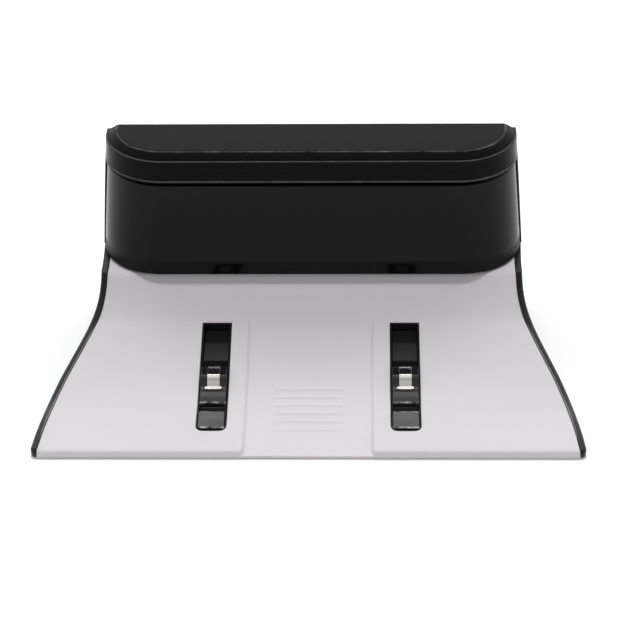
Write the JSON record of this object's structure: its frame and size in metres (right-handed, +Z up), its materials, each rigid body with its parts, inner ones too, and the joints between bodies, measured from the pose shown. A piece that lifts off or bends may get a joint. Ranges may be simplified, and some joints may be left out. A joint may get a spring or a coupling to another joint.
{
  "type": "robot vacuum charging dock",
  "caption": "Low charging dock for a robot vacuum: pale curved ramp between dark flared walls, sprung contact levers in slots, and a dark head with a wrap-around signal window.",
  "frame": {"origin": "middle of the footprint on the floor, under the feet", "axes": "+Z up, +X along the width, -Y out of the front where the robot drives on"},
  "size_m": [0.24, 0.13, 0.0947],
  "materials": {
    "frame_black": "fine satin moulded texture",
    "ramp_grey": "fine satin moulded texture",
    "window_gloss": "polished, lets infrared through",
    "cap_black": "satin",
    "inlay_gloss": "polished",
    "floor_black": "matt",
    "ballast_steel": "zinc coated",
    "lever_black": "smooth satin",
    "contact_nickel": "nickel plated",
    "pin_steel": "bright",
    "spring_steel": "drawn wire",
    "terminal_brass": "stamped",
    "lead_red": "soft insulation",
    "lead_dark": "soft insulation",
    "board_green": "solder mask",
    "transformer_tape": "tape over ferrite",
    "capacitor_sleeve": "shrunk sleeve",
    "screw_steel": "zinc plated",
    "emitter_clear": "moulded lens",
    "inlet_black": "matt",
    "inlet_metal": "plated",
    "link_white": "flat cable",
    "foot_rubber": "matt"
  },
  "bodies": {
    "dock": {"ballast_plate": "ballast_steel", "base_screws": "screw_steel", "board_link": "link_white", "board_screws": "screw_steel", "bottom_plate": "floor_black", "capacitor": "capacitor_sleeve", "inlet_leads": "lead_dark", "inlet_pins": "inlet_metal", "ir_board": "board_green", "ir_board_screws": "screw_steel", "ir_divider": "floor_black", "ir_emitters": "emitter_clear", "ir_window": "window_gloss", "left_lead": "lead_red", "left_lever_pin": "pin_steel", "left_lever_spring": "spring_steel", "left_terminal": "terminal_brass", "main_board": "board_green", "main_frame": "frame_black", "power_inlet": "inlet_black", "ramp_cover": "ramp_grey", "right_lead": "lead_dark", "right_lever_pin": "pin_steel", "right_lever_spring": "spring_steel", "right_terminal": "terminal_brass", "rubber_feet": "foot_rubber", "top_cap": "cap_black", "top_inlay": "inlay_gloss", "transformer": "transformer_tape"},
    "left_lever": {"left_contact_lever": "lever_black", "left_contact_strip": "contact_nickel"},
    "right_lever": {"right_contact_lever": "lever_black", "right_contact_strip": "contact_nickel"}
  },
  "joints": [
    {"name": "left_lever_hinge", "type": "hinge", "parent": "dock", "child": "left_lever", "pos_m": [-0.0427, -0.0456, 0.0032], "axis": [-1, 0, 0], "range_deg": [0, 7], "stiffness_Nm_per_rad": 0.12, "springref_deg": -11.46, "deforming": ["left_lever_spring"]},
    {"name": "right_lever_hinge", "type": "hinge", "parent": "dock", "child": "right_lever", "pos_m": [0.0427, -0.0456, 0.0032], "axis": [-1, 0, 0], "range_deg": [0, 7], "stiffness_Nm_per_rad": 0.12, "springref_deg": -11.46, "deforming": ["right_lever_spring"]}
  ]
}
